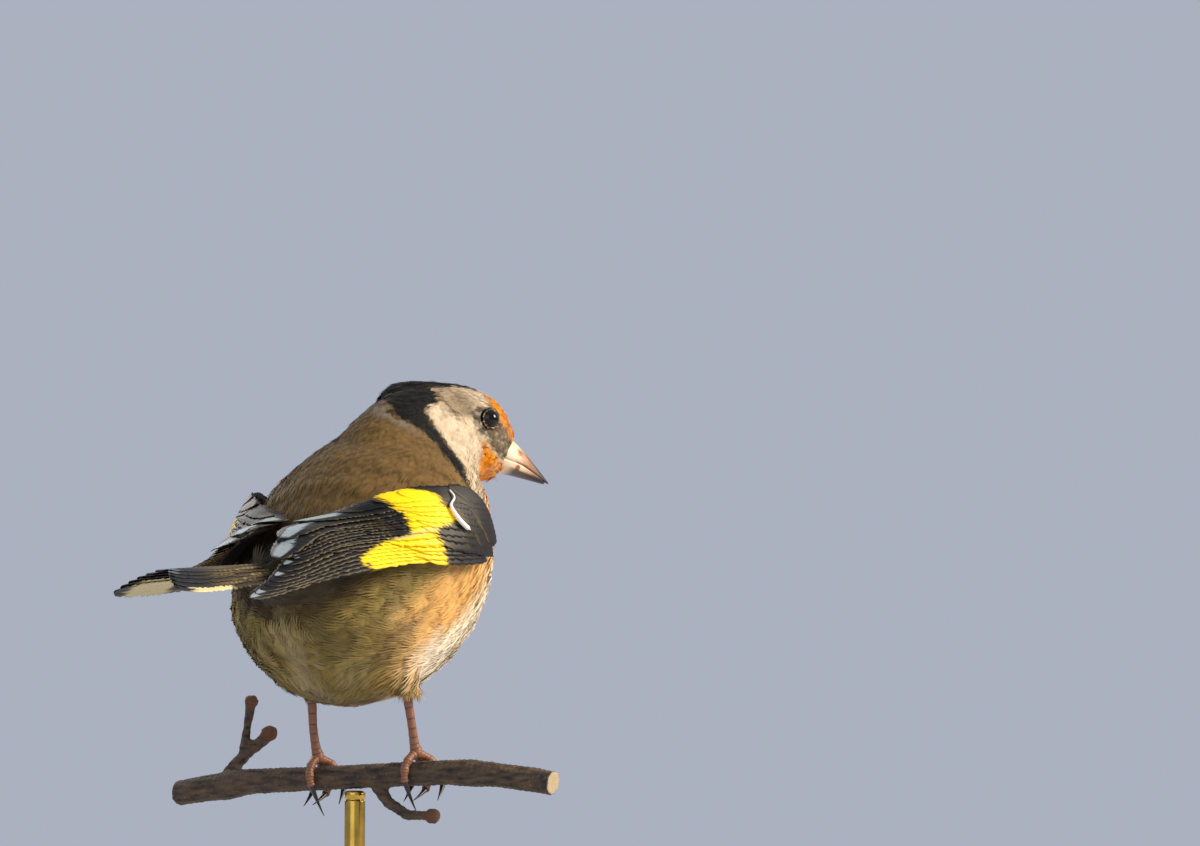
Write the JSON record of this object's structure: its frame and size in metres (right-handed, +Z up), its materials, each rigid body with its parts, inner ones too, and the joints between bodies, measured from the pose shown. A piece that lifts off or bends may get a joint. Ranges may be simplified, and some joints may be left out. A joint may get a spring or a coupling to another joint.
{
  "type": "perched goldfinch model",
  "caption": "Life-size European goldfinch perched on a cut twig, looking over its right shoulder, held on a plain round display stand.",
  "frame": {"origin": "on the flat underside of the stand, under the middle of the twig where the bird sits", "axes": "+X the way the bird's body faces, +Y to its left along the twig, +Z up"},
  "size_m": [0.1158, 0.0887, 0.1759],
  "materials": {
    "plumage_brown": "warm brown body feathers",
    "plumage_pale": "pale, black and red head feathers",
    "plumage_black": "black flight feathers with yellow and white marks",
    "horn": "ivory horn of the bill",
    "eye": "polished, dark brown",
    "leg_skin": "pinkish brown scaled skin",
    "claw": "dark horn",
    "bark": "thin grey-brown bark",
    "stand_wood": "turned and oiled",
    "stand_brass": "brushed"
  },
  "bodies": {
    "root": {"torso": "plumage_brown", "neck": "plumage_pale", "head": "plumage_pale", "bill_upper": "horn", "bill_lower": "horn", "eye_left": "eye", "eye_right": "eye", "wing_left": "plumage_black", "wing_right": "plumage_black", "tail": "plumage_black", "thigh_left": "plumage_pale", "thigh_right": "plumage_pale", "foot_left": "leg_skin", "foot_right": "leg_skin", "perch": "bark", "stand_base": "stand_wood", "stand_rod": "stand_brass", "claw_left_inner": "claw", "claw_left_middle": "claw", "claw_left_outer": "claw", "claw_left_hind": "claw", "claw_right_inner": "claw", "claw_right_middle": "claw", "claw_right_outer": "claw", "claw_right_hind": "claw"}
  },
  "joints": []
}
